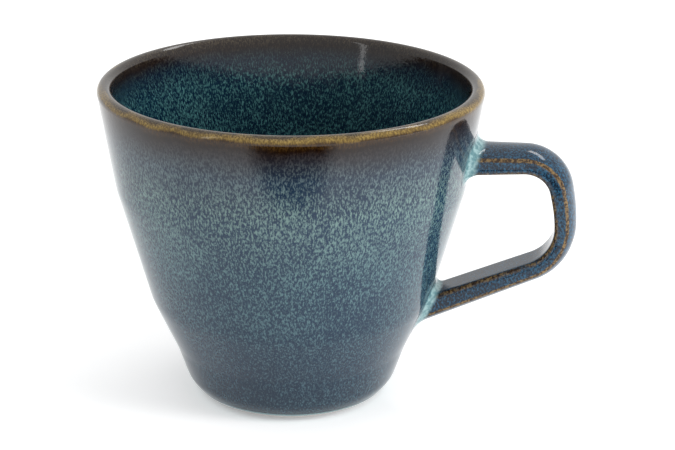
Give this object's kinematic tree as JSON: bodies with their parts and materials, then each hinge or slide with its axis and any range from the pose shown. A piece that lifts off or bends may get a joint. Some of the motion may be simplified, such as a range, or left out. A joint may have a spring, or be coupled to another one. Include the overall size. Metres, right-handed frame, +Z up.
{
  "type": "ceramic mug",
  "caption": "Flared stoneware mug with a strap handle luted to its side, a bare foot ring and glossy speckled blue glaze that breaks brown over the lip.",
  "frame": {"origin": "centre of the foot ring, on the surface that the mug stands on", "axes": "+Z up along the cup's axis, +X towards the handle"},
  "size_m": [0.1123, 0.09, 0.0765],
  "materials": {
    "bare_stoneware": "matt, fine sandy grain",
    "handle_coat": "glossy, dark blue breaking brown on the long edges",
    "joint_coat": "glossy, pale celadon where the glaze pools",
    "outer_coat": "glossy, slate blue with fine pale specks",
    "liner_coat": "glossy, deep teal blue with fine pale specks",
    "rim_coat": "glossy, dark brown with an olive gold lip"
  },
  "bodies": {
    "root": {"stoneware_body": "bare_stoneware", "stoneware_handle": "handle_coat", "upper_joint_slip": "joint_coat", "lower_joint_slip": "joint_coat", "outer_glaze": "outer_coat", "liner_glaze": "liner_coat", "rim_glaze": "rim_coat"}
  },
  "joints": []
}
